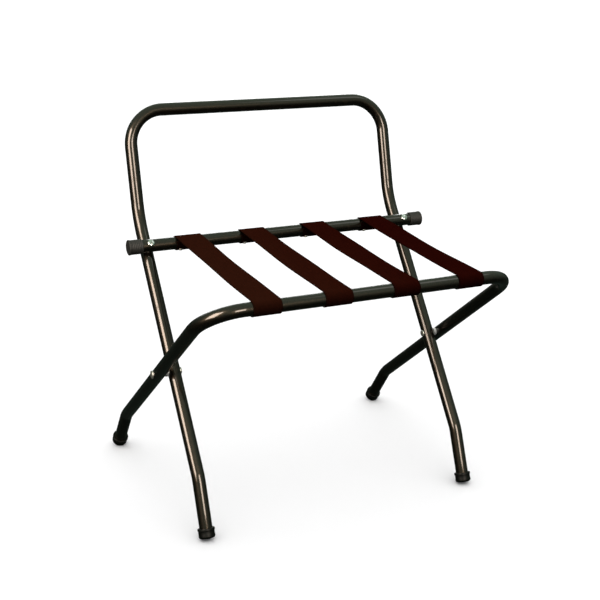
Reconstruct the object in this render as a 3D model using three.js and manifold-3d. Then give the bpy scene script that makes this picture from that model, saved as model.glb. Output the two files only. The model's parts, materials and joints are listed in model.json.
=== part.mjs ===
// A folding luggage rack with a back guard, in millimetres.
// +Z is up, -Y is the front, where a person stands to put a bag on it, and -X is that person's left.
//
// Two bent steel tubes cross like scissors. The back frame is an upside-down U: its top bar guards
// the wall, and its legs run down and forwards to the front feet. The seat frame is a wider U: its
// bar is the front rail, and its legs run down and backwards to the rear feet. A straight rear rail
// is bolted to the back frame's posts, and four webbing straps join the two rails.

import * as THREE from 'three';
import { mergeVertices } from 'three/addons/utils/BufferGeometryUtils.js';
import Module from 'manifold-3d';

const wasm = await Module();
wasm.setup();

// ---- Driving dimensions ----

const TUBE_DIAMETER = 22.2;
const TUBE_WALL = 1.2;
const CONTACT_GAP = 0.3; // air left between pieces that touch
const HOLE_CLEARANCE = 0.3; // air round a shank in its hole

const SEAT_LEG_SPACING = 560; // between the centres of the seat frame's legs
const PIVOT_HEIGHT = 242.2;

const BACK_LEG_LEAN = 38.2; // degrees from upright, along the middle of the leg
const BACK_LEG_BELOW_PIVOT = 186.5; // pivot to the bend above the foot
const BACK_FOOT_LEAN = 23.6;
const GUARD_LEAN = 16;
const GUARD_POST_LENGTH = 188; // from that bend to the centre of the top bar
const GUARD_BEND_RADIUS = 150;
const GUARD_CORNER_RADIUS = 62;

const SEAT_LEG_LEAN = 50.3;
const SEAT_LEG_BELOW_PIVOT = 247.6;
const SEAT_LEG_ABOVE_PIVOT = 280; // pivot to the centre of the front rail
const SEAT_FOOT_LEAN = 33.9;
const SEAT_CORNER_RADIUS = 65;
const FOOT_BEND_RADIUS = 60;

const REAR_RAIL_REACH = 222; // pivot to the rail, measured along the leg
const REAR_RAIL_TO_GUARD_BEND = 61; // from there to the bend where the leg becomes a guard post
const REAR_RAIL_OVERHANG = 39; // from a post's centre to the outer face of an end cap

const END_CAP_LENGTH = 25;
const END_CAP_WALL = 1.5;
const END_CAP_FLOOR = 2.5;
const END_CAP_RIM = 3.5; // length of the plain rim at the closed end
const END_CAP_RIM_PROUD = 0.5;
const END_CAP_RIB_PITCH = 3;
const END_CAP_RIB_DEPTH = 0.5;

const SADDLE_DIAMETER = 16;
const SADDLE_WEB = 0.8; // thickness where the two tubes come closest
const RAIL_SCREW_DIAMETER = 5;
const RAIL_SCREW_HEAD_DIAMETER = 12.6;
const RAIL_SCREW_HEAD_HEIGHT = 3.6;
const RAIL_NUT_WALL = 1.5; // metal from the screw to a flat of its nut
const RAIL_NUT_HEIGHT = 4;
const RAIL_SCREW_TIP = 1.2; // how far the screw stands past its nut

const PIVOT_BOLT_DIAMETER = 6;
const PIVOT_HEAD_DIAMETER = 14.5;
const PIVOT_HEAD_HEIGHT = 2.2;
const PIVOT_SPACER_WALL = 4;
const PIVOT_SPACER_LENGTH = 4.7;
const PIVOT_NUT_WALL = 1.2; // of the barrel that the bolt screws into
const PIVOT_NUT_HEAD_WIDTH = 3; // from the bolt to the head's edge
const PIVOT_NUT_HEAD_HEIGHT = 2.2;
const PIVOT_NUT_FLOOR = 3; // solid metal under the head's crown
const PIVOT_HEAD_EDGE = 0.8; // straight edge below the dome of both heads

const FOOT_WALL = 2.6;
const FOOT_LENGTH = 17;
const FOOT_SOLE = 5; // rubber below the end of the tube
const FOOT_EDGE_RADIUS = 4;
const FOOT_RIM_HEIGHT = 4;
const FOOT_RIM_PROUD = 0.6;
const FOOT_FLATTENING = 0.8; // how far the edge is pressed flat on the floor

const STRAP_COUNT = 4;
const STRAP_WIDTH = 48;
const STRAP_THICKNESS = 1.6;
const STRAP_TO_CORNER = 8.75; // straight front rail left between an outer strap and the bend
const STRAP_WRAP = 300; // degrees that each end goes round its rail

const RIVET_ANGLE = 220; // degrees round the wrap, from the top of the rail
const RIVET_TO_STRAP_EDGE = 8;
const RIVET_DIAMETER = 3.2;
const RIVET_HEAD_DIAMETER = 6.8;
const RIVET_HEAD_HEIGHT = 1.5;
const RIVET_BULB_DIAMETER = 4.6;
const RIVET_BULB_LENGTH = 2.5;

// Facets round each kind of piece, and steps along its curves.
const TUBE_SIDES = 16;
const SMALL_SIDES = 12;
const RIVET_SIDES = 8;
const WRAP_STEPS = 20;
const DOME_STEPS = 3;
const FOOT_EDGE_STEPS = 3;
const BEND_STEPS_PER_QUARTER = 6;
const BEND_STEPS_LEAST = 2;

// ---- Sizes that follow ----

const TUBE_RADIUS = TUBE_DIAMETER / 2;
const RESTING_RADIUS = TUBE_RADIUS + CONTACT_GAP; // where a piece that touches a tube starts
const BORE_FLATS = (TUBE_RADIUS - TUBE_WALL) * Math.cos(Math.PI / TUBE_SIDES); // inside radius at a facet
const SEAT_LEG_X = SEAT_LEG_SPACING / 2;
const LEG_GAP = PIVOT_SPACER_LENGTH + 2 * CONTACT_GAP;
const BACK_LEG_X = SEAT_LEG_X - TUBE_DIAMETER - LEG_GAP;
const BACK_LEG_ABOVE_PIVOT = REAR_RAIL_REACH + REAR_RAIL_TO_GUARD_BEND;
const REAR_RAIL_LENGTH = 2 * (BACK_LEG_X + REAR_RAIL_OVERHANG);
const REAR_RAIL_STANDOFF = 2 * RESTING_RADIUS + SADDLE_WEB;
const END_CAP_RADIUS = RESTING_RADIUS + END_CAP_WALL;
const FOOT_RADIUS = RESTING_RADIUS + FOOT_WALL;
const STRAP_RADIUS = RESTING_RADIUS + STRAP_THICKNESS / 2; // to the middle of the webbing
const OUTER_STRAP_X = SEAT_LEG_X - SEAT_CORNER_RADIUS - STRAP_TO_CORNER - STRAP_WIDTH / 2;
const STRAP_PITCH = (2 * OUTER_STRAP_X) / (STRAP_COUNT - 1);
const RIVET_OFFSET = STRAP_WIDTH / 2 - RIVET_TO_STRAP_EDGE;

const SIDES = { left: -1, right: 1 };

// ---- Side view: points and directions as (y, z) ----

const radians = THREE.MathUtils.degToRad;

// The upward direction that leans back by so many degrees, or forwards when they are negative.
const leaning = (degrees) => new THREE.Vector2(Math.sin(radians(degrees)), Math.cos(radians(degrees)));
const along = (start, direction, distance) => start.clone().addScaledVector(direction, distance);

const pivot = new THREE.Vector2(0, PIVOT_HEIGHT);
const backLegUp = leaning(BACK_LEG_LEAN);
const seatLegUp = leaning(-SEAT_LEG_LEAN);
const backLegFront = new THREE.Vector2(-backLegUp.y, backLegUp.x); // square to the leg, up and forwards

const backFootBend = along(pivot, backLegUp, -BACK_LEG_BELOW_PIVOT);
const guardBend = along(pivot, backLegUp, BACK_LEG_ABOVE_PIVOT);
const topBar = along(guardBend, leaning(GUARD_LEAN), GUARD_POST_LENGTH);
const seatFootBend = along(pivot, seatLegUp, -SEAT_LEG_BELOW_PIVOT);
const frontRail = along(pivot, seatLegUp, SEAT_LEG_ABOVE_PIVOT);
const rearRail = along(along(pivot, backLegUp, REAR_RAIL_REACH), backLegFront, REAR_RAIL_STANDOFF);

// A foot's sole is square to its tube, so it stands on its rounded edge. The middle of the sole is
// raised until that edge is pressed flat by the stated amount.
function footLine(bend, lean) {
  const up = leaning(lean);
  const slope = Math.abs(up.x);
  const edgeDrop = (FOOT_RADIUS - FOOT_EDGE_RADIUS) * slope + FOOT_EDGE_RADIUS * (1 - up.y);
  const soleHeight = edgeDrop - FOOT_FLATTENING;
  const sole = along(bend, up, (soleHeight - bend.y) / up.y);
  return { up, sole, tubeEnd: along(sole, up, FOOT_SOLE + CONTACT_GAP) };
}

const frontFoot = footLine(backFootBend, BACK_FOOT_LEAN);
const rearFoot = footLine(seatFootBend, -SEAT_FOOT_LEAN);

const at = (x, point) => new THREE.Vector3(x, point.x, point.y);

// ---- Solids ----

function toSolid(geometry) {
  const bare = geometry.clone();
  bare.deleteAttribute('normal');
  bare.deleteAttribute('uv');
  const merged = mergeVertices(bare, 1e-4);
  return new wasm.Manifold(new wasm.Mesh({
    numProp: 3,
    vertProperties: merged.attributes.position.array,
    triVerts: new Uint32Array(merged.index.array),
  }));
}

function toGeometry(solid) {
  const mesh = solid.getMesh();
  const geometry = new THREE.BufferGeometry();
  geometry.setAttribute('position', new THREE.BufferAttribute(mesh.vertProperties, 3));
  geometry.setIndex(new THREE.BufferAttribute(mesh.triVerts, 1));
  geometry.computeVertexNormals();
  return geometry;
}

function cut(geometry, cutters) {
  const solid = cutters.reduce((rest, cutter) => rest.subtract(toSolid(cutter)), toSolid(geometry));
  return toGeometry(solid);
}

// Moves a geometry made along local +Y so that its foot is at start and it points along direction.
function aim(geometry, start, direction) {
  const turn = new THREE.Quaternion().setFromUnitVectors(new THREE.Vector3(0, 1, 0), direction);
  return geometry.applyQuaternion(turn).translate(start.x, start.y, start.z);
}

function rod(start, end, radius, sides = SMALL_SIDES) {
  const length = start.distanceTo(end);
  const cylinder = new THREE.CylinderGeometry(radius, radius, length, sides).translate(0, length / 2, 0);
  return aim(cylinder, start, end.clone().sub(start).normalize());
}

// A hole for a shank. Its flats, not its corners, keep the clearance.
function hole(start, end, shankDiameter, sides = SMALL_SIDES) {
  return rod(start, end, (shankDiameter / 2 + HOLE_CLEARANCE) / Math.cos(Math.PI / sides), sides);
}

// A hole through the given point that reaches equally far on both sides of it.
function holeThrough(point, direction, shankDiameter, reach) {
  const start = point.clone().addScaledVector(direction, -reach);
  const end = point.clone().addScaledVector(direction, reach);
  return hole(start, end, shankDiameter);
}

// A solid of revolution about local +Y from a profile of [radius, height] pairs.
function turned(profile, sides = SMALL_SIDES) {
  return new THREE.LatheGeometry(profile.map(([radius, height]) => new THREE.Vector2(radius, height)), sides);
}

// Points of a low dome, from its edge to its crown, as profile pairs.
function dome(radius, base, height) {
  const points = [];
  for (let step = 0; step < DOME_STEPS; step++) {
    const angle = (step / DOME_STEPS) * Math.PI / 2;
    points.push([radius * Math.cos(angle), base + height * Math.sin(angle)]);
  }
  return [...points, [0, base + height]];
}

// ---- Bent tubes ----

// The arc that rounds one corner of a centreline, as sections with a point and a direction each.
function bendSections(before, corner, after, radius) {
  const back = before.clone().sub(corner).normalize();
  const ahead = after.clone().sub(corner).normalize();
  const turn = Math.PI - back.angleTo(ahead);
  const centre = back.clone().add(ahead).normalize().multiplyScalar(radius / Math.cos(turn / 2)).add(corner);
  const inward = back.clone().multiplyScalar(-1);
  const start = corner.clone().addScaledVector(back, radius * Math.tan(turn / 2)).sub(centre);
  const steps = Math.max(BEND_STEPS_LEAST, Math.ceil((turn / (Math.PI / 2)) * BEND_STEPS_PER_QUARTER));
  const sections = [];
  for (let step = 0; step <= steps; step++) {
    const angle = (turn * step) / steps;
    const point = start.clone().multiplyScalar(Math.cos(angle))
      .addScaledVector(inward, radius * Math.sin(angle));
    const direction = inward.clone().multiplyScalar(Math.cos(angle))
      .addScaledVector(start, -Math.sin(angle) / radius);
    sections.push({ point: point.add(centre), direction });
  }
  return sections;
}

// A centreline of straight runs and arcs. Its sections sit only at the ends of the straight runs
// and round the bends, so a long straight run stays light.
class BentTubeLine extends THREE.Curve {
  constructor(corners, radii) {
    super();
    const last = corners.length - 1;
    const first = { point: corners[0], direction: corners[1].clone().sub(corners[0]).normalize() };
    const end = { point: corners[last], direction: corners[last].clone().sub(corners[last - 1]).normalize() };
    const bends = radii.flatMap((radius, index) => (
      bendSections(corners[index], corners[index + 1], corners[index + 2], radius)));
    this.sections = [first, ...bends, end];
  }

  section(u) {
    return this.sections[Math.round(u * (this.sections.length - 1))];
  }

  getPointAt(u) {
    return this.section(u).point.clone();
  }

  getTangentAt(u) {
    return this.section(u).direction.clone();
  }
}

function tubeAlong(line) {
  const ring = new THREE.Shape().absarc(0, 0, TUBE_RADIUS, 0, 2 * Math.PI);
  ring.holes.push(new THREE.Path().absarc(0, 0, TUBE_RADIUS - TUBE_WALL, 0, 2 * Math.PI));
  return new THREE.ExtrudeGeometry(ring, {
    steps: line.sections.length - 1,
    curveSegments: TUBE_SIDES / 2,
    extrudePath: line,
  });
}

// ---- Straps ----

// The deck's own directions in the side view: towards the front rail, and square to the straps.
const towardsFront = frontRail.clone().sub(rearRail).normalize();
const deckUp = new THREE.Vector2(towardsFront.y, -towardsFront.x);

// A point round a rail, at an angle from the deck's top, going the way that rail's wrap goes.
function roundRail(rail, away, degrees, radius) {
  const angle = radians(degrees);
  return along(along(rail, deckUp, radius * Math.cos(angle)), away, radius * Math.sin(angle));
}

const RAILS = {
  rear: { centre: rearRail, away: towardsFront.clone().negate() },
  front: { centre: frontRail, away: towardsFront },
};

const strapCentres = Array.from({ length: STRAP_COUNT }, (_, index) => index * STRAP_PITCH - OUTER_STRAP_X);

// One face of the webbing: round the rear rail, over the deck and round the front rail.
function strapFace(radius) {
  const points = [];
  for (let step = WRAP_STEPS; step >= 0; step--) {
    points.push(roundRail(RAILS.rear.centre, RAILS.rear.away, (STRAP_WRAP * step) / WRAP_STEPS, radius));
  }
  for (let step = 0; step <= WRAP_STEPS; step++) {
    points.push(roundRail(RAILS.front.centre, RAILS.front.away, (STRAP_WRAP * step) / WRAP_STEPS, radius));
  }
  return points;
}

// A rivet's line: it starts at the rail's centre and points out of the rail.
function rivetLine(rail, strapX, side) {
  const outward = roundRail(new THREE.Vector2(), rail.away, RIVET_ANGLE, 1);
  return { centre: at(strapX + side * RIVET_OFFSET, rail.centre), outward: at(0, outward) };
}

const rivetHolesOfStrap = (rail, strapX) => Object.values(SIDES).map((side) => {
  const { centre, outward } = rivetLine(rail, strapX, side);
  const end = centre.clone().addScaledVector(outward, 2 * TUBE_RADIUS);
  return hole(centre, end, RIVET_DIAMETER, RIVET_SIDES);
});

const rivetHoles = (rail) => strapCentres.flatMap((strapX) => rivetHolesOfStrap(rail, strapX));

function strapGeometry(x) {
  const outline = [
    ...strapFace(STRAP_RADIUS + STRAP_THICKNESS / 2),
    ...strapFace(STRAP_RADIUS - STRAP_THICKNESS / 2).reverse(),
  ];
  const webbing = new THREE.ExtrudeGeometry(new THREE.Shape(outline), {
    depth: STRAP_WIDTH,
    bevelEnabled: false,
  });
  // The outline's own x and y are the rack's Y and Z, and it is extruded along X.
  const sideView = new THREE.Matrix4().makeBasis(
    new THREE.Vector3(0, 1, 0), new THREE.Vector3(0, 0, 1), new THREE.Vector3(1, 0, 0));
  webbing.applyMatrix4(sideView).translate(x - STRAP_WIDTH / 2, 0, 0);
  return cut(webbing, Object.values(RAILS).flatMap((rail) => rivetHolesOfStrap(rail, x)));
}

// A pop rivet: a domed head on the webbing, a shank through webbing and tube wall, and the bulb
// that it was pulled into inside the tube.
function rivetGeometry(rail, x, side) {
  const { centre, outward } = rivetLine(rail, x, side);
  const bulbTop = Math.sqrt(BORE_FLATS ** 2 - (RIVET_BULB_DIAMETER / 2) ** 2) - CONTACT_GAP;
  const headBase = STRAP_RADIUS + STRAP_THICKNESS / 2 + CONTACT_GAP;
  const rivet = turned([
    [0, bulbTop - RIVET_BULB_LENGTH],
    [RIVET_BULB_DIAMETER / 2, bulbTop - RIVET_BULB_LENGTH],
    [RIVET_BULB_DIAMETER / 2, bulbTop],
    [RIVET_DIAMETER / 2, bulbTop],
    [RIVET_DIAMETER / 2, headBase],
    ...dome(RIVET_HEAD_DIAMETER / 2, headBase, RIVET_HEAD_HEIGHT),
  ], RIVET_SIDES);
  return aim(rivet, centre, outward);
}

// ---- Rear rail and what holds it ----

const railScrewDirection = at(0, backLegFront);
const railScrewHole = (side) => {
  const centre = at(side * BACK_LEG_X, rearRail);
  return holeThrough(centre, railScrewDirection, RAIL_SCREW_DIAMETER, 2 * REAR_RAIL_STANDOFF);
};

function rearRailGeometry() {
  const half = REAR_RAIL_LENGTH / 2 - END_CAP_FLOOR - CONTACT_GAP;
  const line = new BentTubeLine([at(-half, rearRail), at(half, rearRail)], []);
  return cut(tubeAlong(line), [...Object.values(SIDES).map(railScrewHole), ...rivetHoles(RAILS.rear)]);
}

// A sleeve with fine rings round it and a plain rim at its closed end.
function endCapGeometry(side) {
  const bore = RESTING_RADIUS;
  const outer = END_CAP_RADIUS;
  const ribbedLength = END_CAP_LENGTH - END_CAP_RIM;
  const ribs = Math.floor(ribbedLength / END_CAP_RIB_PITCH);
  const pitch = ribbedLength / ribs;
  const profile = [[0, END_CAP_LENGTH - END_CAP_FLOOR], [bore, END_CAP_LENGTH - END_CAP_FLOOR], [bore, 0]];
  for (let rib = 0; rib < ribs; rib++) {
    profile.push([outer - END_CAP_RIB_DEPTH, rib * pitch], [outer, (rib + 0.5) * pitch]);
  }
  const rim = outer + END_CAP_RIM_PROUD;
  profile.push([outer - END_CAP_RIB_DEPTH, ribbedLength], [rim, ribbedLength + END_CAP_RIM_PROUD]);
  profile.push([rim, END_CAP_LENGTH - 1], [rim - 1, END_CAP_LENGTH], [0, END_CAP_LENGTH]);
  const start = at(side * (REAR_RAIL_LENGTH / 2 - END_CAP_LENGTH), rearRail);
  return aim(turned(profile, TUBE_SIDES), start, new THREE.Vector3(side, 0, 0));
}

// A small block between the rail and the post, hollowed to both tubes.
function saddleGeometry(side) {
  const x = side * BACK_LEG_X;
  const postCentre = at(x, along(rearRail, backLegFront, -REAR_RAIL_STANDOFF));
  const railCentre = at(x, rearRail);
  const reach = SADDLE_DIAMETER;
  const hollow = (centre, direction) => rod(
    centre.clone().addScaledVector(direction, -reach),
    centre.clone().addScaledVector(direction, reach),
    RESTING_RADIUS / Math.cos(Math.PI / TUBE_SIDES), TUBE_SIDES);
  return cut(rod(postCentre, railCentre, SADDLE_DIAMETER / 2, TUBE_SIDES), [
    hollow(postCentre, at(0, backLegUp)),
    hollow(railCentre, new THREE.Vector3(1, 0, 0)),
    railScrewHole(side),
  ]);
}

// Distances from the rail's centre, backwards along the screw, to the nut's two faces.
const railNutNear = REAR_RAIL_STANDOFF + RESTING_RADIUS;
const railNutFar = railNutNear + RAIL_NUT_HEIGHT;

function railScrewGeometry(side) {
  const shank = RAIL_SCREW_DIAMETER / 2;
  const headEdge = RESTING_RADIUS + RAIL_SCREW_HEAD_HEIGHT * 0.35;
  const screw = turned([
    [0, -railNutFar - RAIL_SCREW_TIP],
    [shank - 0.6, -railNutFar - RAIL_SCREW_TIP],
    [shank, -railNutFar - RAIL_SCREW_TIP + 0.6],
    [shank, RESTING_RADIUS],
    [RAIL_SCREW_HEAD_DIAMETER / 2, RESTING_RADIUS],
    ...dome(RAIL_SCREW_HEAD_DIAMETER / 2, headEdge, RAIL_SCREW_HEAD_HEIGHT * 0.65),
  ]);
  return aim(screw, at(side * BACK_LEG_X, rearRail), railScrewDirection);
}

function hexagon(shankDiameter, wall, height) {
  const corner = (shankDiameter / 2 + wall) / Math.cos(Math.PI / 6);
  return new THREE.CylinderGeometry(corner, corner, height, 6).translate(0, height / 2, 0);
}

function railNutGeometry(side) {
  const centre = at(side * BACK_LEG_X, rearRail);
  const start = centre.clone().addScaledVector(railScrewDirection, -railNutFar);
  const nut = aim(hexagon(RAIL_SCREW_DIAMETER, RAIL_NUT_WALL, RAIL_NUT_HEIGHT), start, railScrewDirection);
  return cut(nut, [railScrewHole(side)]);
}

// ---- Pivots ----

// Distances outwards from the rack's middle to each face in the stack on a pivot bolt.
const pivotStack = { headBase: SEAT_LEG_X + RESTING_RADIUS, spacerBase: BACK_LEG_X + RESTING_RADIUS };
pivotStack.barrelEnd = BACK_LEG_X + TUBE_RADIUS - CONTACT_GAP;
pivotStack.nutSeat = BACK_LEG_X - RESTING_RADIUS;
pivotStack.nutBore = pivotStack.nutSeat - PIVOT_NUT_HEAD_HEIGHT + PIVOT_NUT_FLOOR;
pivotStack.boltTip = pivotStack.nutBore + CONTACT_GAP;

const PIVOT_BORE = PIVOT_BOLT_DIAMETER / 2 + HOLE_CLEARANCE;
const PIVOT_BARREL = PIVOT_BORE + PIVOT_NUT_WALL;

// The bolt alone passes through the seat frame's leg; the nut's wider barrel fills the back frame's.
const pivotHole = (side, legX, radius) => (
  holeThrough(at(side * legX, pivot), new THREE.Vector3(side, 0, 0), 2 * radius, TUBE_DIAMETER));

// Places a geometry made along local +Y on the pivot's axis, from a distance out of the middle.
const onPivot = (geometry, side, distance) => (
  aim(geometry, at(side * distance, pivot), new THREE.Vector3(side, 0, 0)));

function pivotBoltGeometry(side) {
  const { boltTip, headBase } = pivotStack;
  const shank = PIVOT_BOLT_DIAMETER / 2;
  const length = headBase - boltTip;
  const bolt = turned([
    [0, 0], [shank - 0.5, 0], [shank, 0.5], [shank, length],
    [PIVOT_HEAD_DIAMETER / 2, length],
    ...dome(PIVOT_HEAD_DIAMETER / 2, length + PIVOT_HEAD_EDGE, PIVOT_HEAD_HEIGHT - PIVOT_HEAD_EDGE),
  ], TUBE_SIDES);
  return onPivot(bolt, side, boltTip);
}

function pivotSpacerGeometry(side) {
  const outer = PIVOT_BOLT_DIAMETER / 2 + PIVOT_SPACER_WALL;
  const ring = turned([
    [PIVOT_BORE, 0], [outer, 0], [outer, PIVOT_SPACER_LENGTH], [PIVOT_BORE, PIVOT_SPACER_LENGTH], [PIVOT_BORE, 0],
  ], TUBE_SIDES);
  return onPivot(ring, side, pivotStack.spacerBase);
}

// A barrel nut: a threaded sleeve through the leg, with a low domed head on the leg's inner face.
// Its profile starts at the sleeve's open end and points inwards, towards the rack's middle.
function pivotNutGeometry(side) {
  const { barrelEnd, nutSeat, nutBore } = pivotStack;
  const head = PIVOT_BOLT_DIAMETER / 2 + PIVOT_NUT_HEAD_WIDTH;
  const barrel = barrelEnd - nutSeat;
  const bore = barrelEnd - nutBore;
  const nut = turned([
    [0, bore], [PIVOT_BORE, bore], [PIVOT_BORE, 0],
    [PIVOT_BARREL, 0], [PIVOT_BARREL, barrel],
    [head, barrel],
    ...dome(head, barrel + PIVOT_HEAD_EDGE, PIVOT_NUT_HEAD_HEIGHT - PIVOT_HEAD_EDGE),
  ], TUBE_SIDES);
  return aim(nut, at(side * barrelEnd, pivot), new THREE.Vector3(-side, 0, 0));
}

// ---- Frames and feet ----

function backFrameGeometry() {
  const leftToRight = [
    [-BACK_LEG_X, frontFoot.tubeEnd], [-BACK_LEG_X, backFootBend], [-BACK_LEG_X, guardBend],
    [-BACK_LEG_X, topBar], [BACK_LEG_X, topBar],
    [BACK_LEG_X, guardBend], [BACK_LEG_X, backFootBend], [BACK_LEG_X, frontFoot.tubeEnd],
  ];
  const line = new BentTubeLine(leftToRight.map(([x, point]) => at(x, point)), [
    FOOT_BEND_RADIUS, GUARD_BEND_RADIUS, GUARD_CORNER_RADIUS,
    GUARD_CORNER_RADIUS, GUARD_BEND_RADIUS, FOOT_BEND_RADIUS,
  ]);
  const holes = Object.values(SIDES).flatMap((side) => [
    railScrewHole(side), pivotHole(side, BACK_LEG_X, PIVOT_BARREL),
  ]);
  return cut(tubeAlong(line), holes);
}

function seatFrameGeometry() {
  const leftToRight = [
    [-SEAT_LEG_X, rearFoot.tubeEnd], [-SEAT_LEG_X, seatFootBend], [-SEAT_LEG_X, frontRail],
    [SEAT_LEG_X, frontRail], [SEAT_LEG_X, seatFootBend], [SEAT_LEG_X, rearFoot.tubeEnd],
  ];
  const line = new BentTubeLine(leftToRight.map(([x, point]) => at(x, point)), [
    FOOT_BEND_RADIUS, SEAT_CORNER_RADIUS, SEAT_CORNER_RADIUS, FOOT_BEND_RADIUS,
  ]);
  const boltHoles = Object.values(SIDES).map((side) => pivotHole(side, SEAT_LEG_X, PIVOT_BOLT_DIAMETER / 2));
  return cut(tubeAlong(line), [...boltHoles, ...rivetHoles(RAILS.front)]);
}

// A rubber tip over the end of a leg, pressed flat where it meets the floor.
function footGeometry(x, foot) {
  const outer = FOOT_RADIUS;
  const roundedEdge = [];
  for (let step = 0; step <= FOOT_EDGE_STEPS; step++) {
    const angle = (step / FOOT_EDGE_STEPS) * Math.PI / 2;
    roundedEdge.push([
      outer - FOOT_EDGE_RADIUS * (1 - Math.sin(angle)), FOOT_EDGE_RADIUS * (1 - Math.cos(angle)),
    ]);
  }
  const tip = turned([
    [0, 0],
    ...roundedEdge,
    [outer - 0.3, FOOT_LENGTH - FOOT_RIM_HEIGHT - FOOT_RIM_PROUD],
    [outer + FOOT_RIM_PROUD, FOOT_LENGTH - FOOT_RIM_HEIGHT],
    [outer + FOOT_RIM_PROUD, FOOT_LENGTH - 0.6],
    [outer, FOOT_LENGTH],
    [RESTING_RADIUS, FOOT_LENGTH],
    [RESTING_RADIUS, FOOT_SOLE],
    [0, FOOT_SOLE],
  ], TUBE_SIDES);
  const placed = aim(tip, at(x, foot.sole), at(0, foot.up));
  const floor = new THREE.BoxGeometry(4 * outer, 4 * outer, 2 * outer).translate(x, foot.sole.x, -outer);
  return cut(placed, [floor]);
}

// ---- Materials ----

const finish = (color, roughness, metalness) => () => (
  new THREE.MeshStandardMaterial({ color, roughness, metalness }));

const bronzePaint = finish(0x2a221c, 0.25, 0.6);
const webbingCloth = finish(0x2c0f0a, 0.9, 0);
const blackPlastic = finish(0x1a1a1a, 0.5, 0);
const blackRubber = finish(0x121212, 0.8, 0);
const brightMetal = finish(0xd0d2d0, 0.2, 1);
const whiteNylon = finish(0xeeeeea, 0.4, 0);

// ---- Assembly ----

const rack = new THREE.Group();

function addPiece(name, geometry, material) {
  const piece = new THREE.Mesh(geometry, material());
  piece.name = name;
  rack.add(piece);
}

addPiece('back_frame_tube', backFrameGeometry(), bronzePaint);
addPiece('seat_frame_tube', seatFrameGeometry(), bronzePaint);
addPiece('rear_rail_tube', rearRailGeometry(), bronzePaint);

for (const [sideName, side] of Object.entries(SIDES)) {
  addPiece(`rail_end_cap_${sideName}`, endCapGeometry(side), blackPlastic);
  addPiece(`rail_saddle_${sideName}`, saddleGeometry(side), blackPlastic);
  addPiece(`rail_screw_${sideName}`, railScrewGeometry(side), brightMetal);
  addPiece(`rail_nut_${sideName}`, railNutGeometry(side), brightMetal);
  addPiece(`pivot_bolt_${sideName}`, pivotBoltGeometry(side), brightMetal);
  addPiece(`pivot_spacer_${sideName}`, pivotSpacerGeometry(side), whiteNylon);
  addPiece(`pivot_nut_${sideName}`, pivotNutGeometry(side), brightMetal);
  addPiece(`foot_front_${sideName}`, footGeometry(side * BACK_LEG_X, frontFoot), blackRubber);
  addPiece(`foot_rear_${sideName}`, footGeometry(side * SEAT_LEG_X, rearFoot), blackRubber);
}

strapCentres.forEach((x, index) => {
  addPiece(`strap_${index + 1}`, strapGeometry(x), webbingCloth);
  for (const [railName, rail] of Object.entries(RAILS)) {
    for (const [sideName, side] of Object.entries(SIDES)) {
      addPiece(`${railName}_rivet_${index + 1}_${sideName}`, rivetGeometry(rail, x, side), brightMetal);
    }
  }
});

// The rack stands with the middle of its footprint box at the origin.
const footprint = new THREE.Box3().setFromObject(rack);
rack.position.y = -(footprint.min.y + footprint.max.y) / 2;

export default rack;
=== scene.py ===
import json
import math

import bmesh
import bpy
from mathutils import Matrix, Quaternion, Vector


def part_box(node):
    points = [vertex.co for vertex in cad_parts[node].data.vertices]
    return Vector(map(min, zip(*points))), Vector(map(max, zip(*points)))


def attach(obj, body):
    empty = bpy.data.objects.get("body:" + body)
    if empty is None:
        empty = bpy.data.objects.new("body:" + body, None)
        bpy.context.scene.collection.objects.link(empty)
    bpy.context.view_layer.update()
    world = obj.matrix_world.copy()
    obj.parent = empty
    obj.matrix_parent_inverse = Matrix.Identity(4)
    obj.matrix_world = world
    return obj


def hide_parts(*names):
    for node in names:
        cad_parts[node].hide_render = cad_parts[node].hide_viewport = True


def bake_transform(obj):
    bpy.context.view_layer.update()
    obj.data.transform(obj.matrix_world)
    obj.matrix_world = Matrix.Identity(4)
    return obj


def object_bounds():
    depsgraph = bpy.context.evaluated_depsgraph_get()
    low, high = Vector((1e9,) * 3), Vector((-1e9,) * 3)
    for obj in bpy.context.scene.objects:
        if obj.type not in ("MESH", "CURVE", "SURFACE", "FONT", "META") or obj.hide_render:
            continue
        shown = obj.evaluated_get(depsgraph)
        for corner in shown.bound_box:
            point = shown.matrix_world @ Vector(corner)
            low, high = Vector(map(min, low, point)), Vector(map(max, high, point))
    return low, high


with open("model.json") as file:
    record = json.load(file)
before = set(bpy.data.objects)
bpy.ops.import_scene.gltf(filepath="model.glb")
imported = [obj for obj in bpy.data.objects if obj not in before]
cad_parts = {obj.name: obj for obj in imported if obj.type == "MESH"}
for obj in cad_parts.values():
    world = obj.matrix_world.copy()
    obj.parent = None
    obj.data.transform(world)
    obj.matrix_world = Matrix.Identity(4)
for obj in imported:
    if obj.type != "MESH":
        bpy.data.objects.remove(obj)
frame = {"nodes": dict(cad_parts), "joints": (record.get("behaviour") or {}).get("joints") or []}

# %% [markdown]
# A folding luggage rack
#
# A hotel room's luggage rack is two bent steel tubes that cross like scissors. The taller one ends in a
# guard that keeps the suitcase off the wall, and the wider one carries the front rail. A straight rear rail
# is bolted to the posts, and four webbing straps join the two rails. The CAD frame already has every piece
# at its true size, in metres, so this notebook gives the pieces their finished shapes and their paint,
# rubber, chrome, nylon and cloth.

MM = 0.001
cad_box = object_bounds()
print("CAD box, mm:", [[round(v / MM, 1) for v in corner] for corner in cad_box])

# %% [markdown]
# Where things are
#
# Everything follows from a side view: the pivot, the lean of each leg, and the distances along it. The
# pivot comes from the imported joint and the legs' places from the feet, and the other dimensions are the CAD
# model's own. Working from the same few numbers as the CAD source keeps each finished piece exactly where
# the plain one was.

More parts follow.
